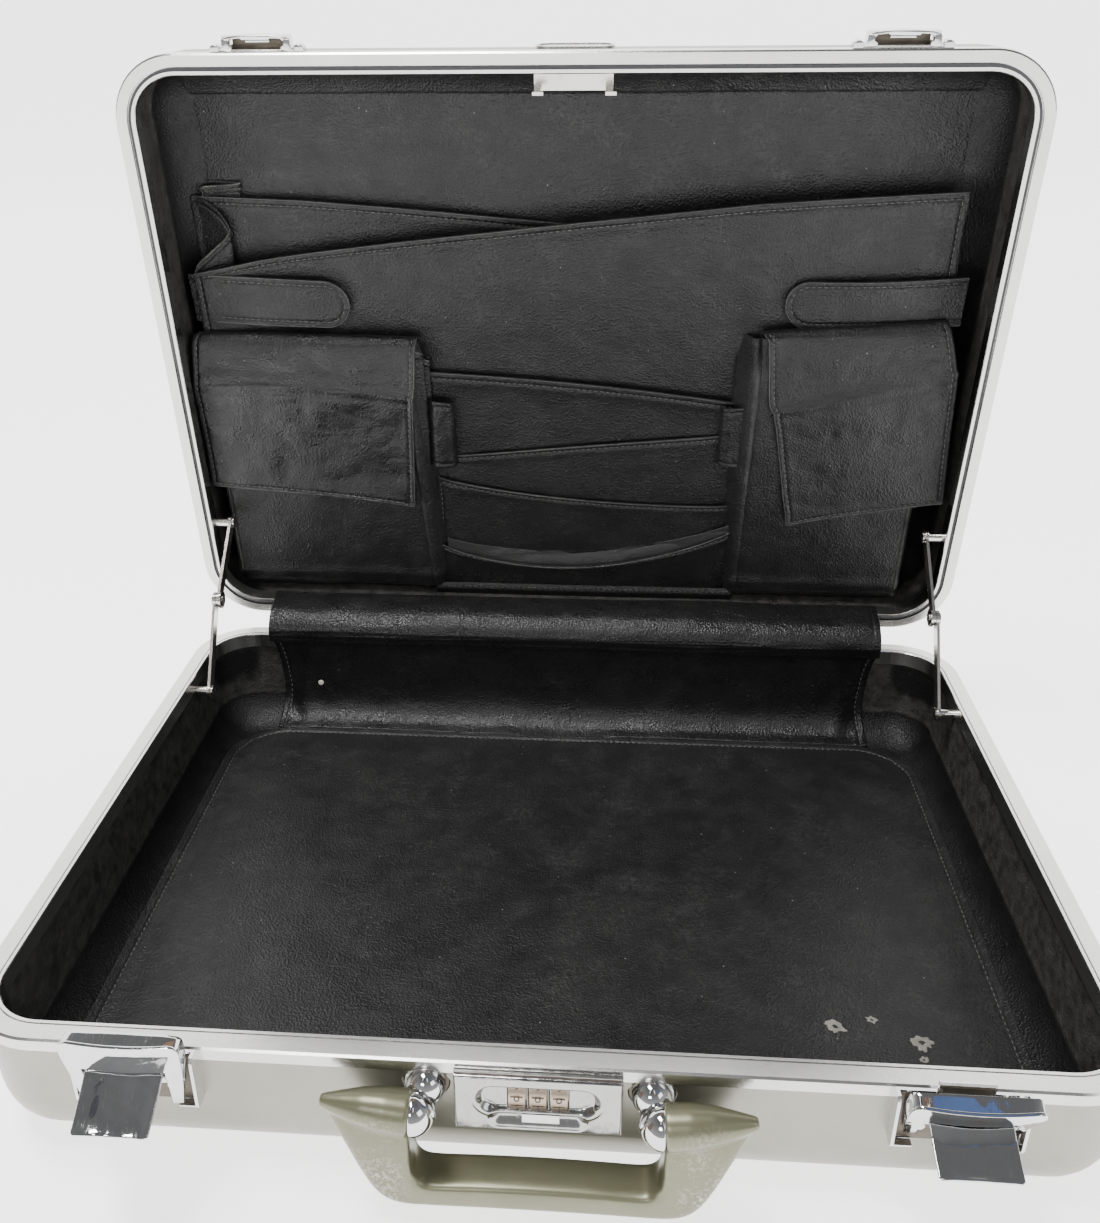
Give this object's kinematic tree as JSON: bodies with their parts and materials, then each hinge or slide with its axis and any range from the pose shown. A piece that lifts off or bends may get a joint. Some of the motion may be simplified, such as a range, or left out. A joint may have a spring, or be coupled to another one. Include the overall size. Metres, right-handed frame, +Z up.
{
  "type": "aluminium attache case",
  "caption": "Open hard-sided attache case: drawn shells in extruded frames, draw latches, combination lock, folding handle, lid stays and a lined lid with file pockets.",
  "frame": {"origin": "centre of the base's flat underside, on the surface the case stands on", "axes": "+X along the case's width to the right as seen from the handle side, +Y from the handle side towards the hinges, +Z up"},
  "size_m": [0.458, 0.4161, 0.4087],
  "materials": {
    "shell": "anodised, fine satin grain",
    "frame": "extruded, satin with fine scratches",
    "lining": "black leatherette, fine grain",
    "pocket_leather": "black leatherette, stitched edges",
    "gusset_cloth": "black woven cloth",
    "hinge_steel": "plated",
    "stay_steel": "nickel plated, satin",
    "spring_steel": "blued",
    "latch_chrome": "worn polish",
    "post_chrome": "polished",
    "lock_black": "satin",
    "dial_brass": "satin",
    "badge_metal": "plain, satin",
    "seal": "matt",
    "handle_paint": "champagne paint with worn patches"
  },
  "bodies": {
    "base": {"base_shell": "shell", "base_frame": "frame", "base_lining": "lining", "base_floor_pad": "lining", "hinge_cover_base": "lining", "hinge_leaves_base": "hinge_steel", "hinge_pins": "hinge_steel", "hinge_rivets_base": "hinge_steel", "latch_plate_left": "latch_chrome", "latch_plate_right": "latch_chrome", "latch_pins": "latch_chrome", "latch_springs": "spring_steel", "latch_rivets": "latch_chrome", "handle_post_left": "post_chrome", "handle_post_right": "post_chrome", "handle_pins": "post_chrome", "lock_plate": "latch_chrome", "lock_case": "lock_black", "lock_axle": "hinge_steel", "stay_studs_base": "stay_steel"},
    "lid": {"lid_shell": "shell", "lid_frame": "frame", "lid_seal": "seal", "lid_lining": "lining", "hinge_cover_lid": "lining", "hinge_leaves_lid": "hinge_steel", "hinge_rivets_lid": "hinge_steel", "keeper_left": "latch_chrome", "keeper_right": "latch_chrome", "badge": "badge_metal", "lock_catch": "hinge_steel", "stay_studs_lid": "stay_steel", "file_divider": "lining", "file_panel": "pocket_leather", "file_gusset": "gusset_cloth", "strap_left": "pocket_leather", "strap_right": "pocket_leather", "pocket_left": "pocket_leather", "pocket_right": "pocket_leather", "organiser": "pocket_leather", "organiser_pockets": "pocket_leather", "pen_loops": "pocket_leather", "pocket_flap_left": "pocket_leather", "pocket_flap_right": "pocket_leather"},
    "handle": {"handle": "handle_paint"},
    "latch_cover_left": {"latch_cover_left": "latch_chrome", "latch_claw_left": "hinge_steel"},
    "latch_cover_right": {"latch_cover_right": "latch_chrome", "latch_claw_right": "hinge_steel"},
    "latch_lever_left": {"latch_lever_left": "latch_chrome"},
    "latch_lever_right": {"latch_lever_right": "latch_chrome"},
    "dial_1": {"dial_1": "dial_brass"},
    "dial_2": {"dial_2": "dial_brass"},
    "dial_3": {"dial_3": "dial_brass"},
    "lock_slide": {"lock_slide": "lock_black"},
    "stay_lower_left": {"stay_lower_left": "stay_steel"},
    "stay_lower_right": {"stay_lower_right": "stay_steel"},
    "stay_upper_left": {"stay_upper_left": "stay_steel"},
    "stay_upper_right": {"stay_upper_right": "stay_steel"}
  },
  "joints": [
    {"name": "lid_hinge", "type": "hinge", "parent": "base", "child": "lid", "pos_m": [0, 0.1722, 0.066], "axis": [1, 0, 0], "range_deg": [0, 82.3]},
    {"name": "handle_swing", "type": "hinge", "parent": "base", "child": "handle", "pos_m": [0, -0.1755, 0.0503], "axis": [-1, 0, 0], "range_deg": [-3, 100]},
    {"name": "latch_cover_left_tilt", "type": "hinge", "parent": "base", "child": "latch_cover_left", "pos_m": [-0.1533, -0.1715, 0.058], "axis": [1, 0, 0], "range_deg": [-8, 22]},
    {"name": "latch_cover_right_tilt", "type": "hinge", "parent": "base", "child": "latch_cover_right", "pos_m": [0.1533, -0.1715, 0.058], "axis": [1, 0, 0], "range_deg": [-28, 2]},
    {"name": "latch_lever_left_lift", "type": "hinge", "parent": "latch_cover_left", "child": "latch_lever_left", "pos_m": [-0.1533, -0.1715, 0.058], "axis": [-1, 0, 0], "range_deg": [-68, 42]},
    {"name": "latch_lever_right_lift", "type": "hinge", "parent": "latch_cover_right", "child": "latch_lever_right", "pos_m": [0.1533, -0.1715, 0.058], "axis": [-1, 0, 0], "range_deg": [-98, 12]},
    {"name": "dial_1_turn", "type": "hinge", "parent": "base", "child": "dial_1", "pos_m": [-0.0079, -0.1614, 0.0512], "axis": [1, 0, 0], "continuous": true},
    {"name": "dial_2_turn", "type": "hinge", "parent": "base", "child": "dial_2", "pos_m": [0, -0.1614, 0.0512], "axis": [1, 0, 0], "continuous": true},
    {"name": "dial_3_turn", "type": "hinge", "parent": "base", "child": "dial_3", "pos_m": [0.0079, -0.1614, 0.0512], "axis": [1, 0, 0], "continuous": true},
    {"name": "lock_slide_move", "type": "slide", "parent": "base", "child": "lock_slide", "axis": [-1, 0, 0], "range_m": [0, 0.0024]},
    {"name": "stay_lower_left_turn", "type": "hinge", "parent": "base", "child": "stay_lower_left", "pos_m": [-0.211, 0.1023, 0.0557], "axis": [1, 0, 0], "range_deg": [0, 101]},
    {"name": "stay_lower_right_turn", "type": "hinge", "parent": "base", "child": "stay_lower_right", "pos_m": [0.211, 0.1023, 0.0557], "axis": [1, 0, 0], "range_deg": [0, 101]},
    {"name": "stay_upper_left_turn", "type": "hinge", "parent": "lid", "child": "stay_upper_left", "pos_m": [-0.209, 0.16899, 0.136], "axis": [1, 0, 0], "range_deg": [-128, 0]},
    {"name": "stay_upper_right_turn", "type": "hinge", "parent": "lid", "child": "stay_upper_right", "pos_m": [0.209, 0.16899, 0.136], "axis": [1, 0, 0], "range_deg": [-128, 0]}
  ],
  "couplings": [
    {"joint": "stay_lower_left_turn", "follows": "lid_hinge", "ratio": 1.2217},
    {"joint": "stay_upper_left_turn", "follows": "lid_hinge", "ratio": -1.5519},
    {"joint": "stay_lower_right_turn", "follows": "lid_hinge", "ratio": 1.2217},
    {"joint": "stay_upper_right_turn", "follows": "lid_hinge", "ratio": -1.5519}
  ]
}
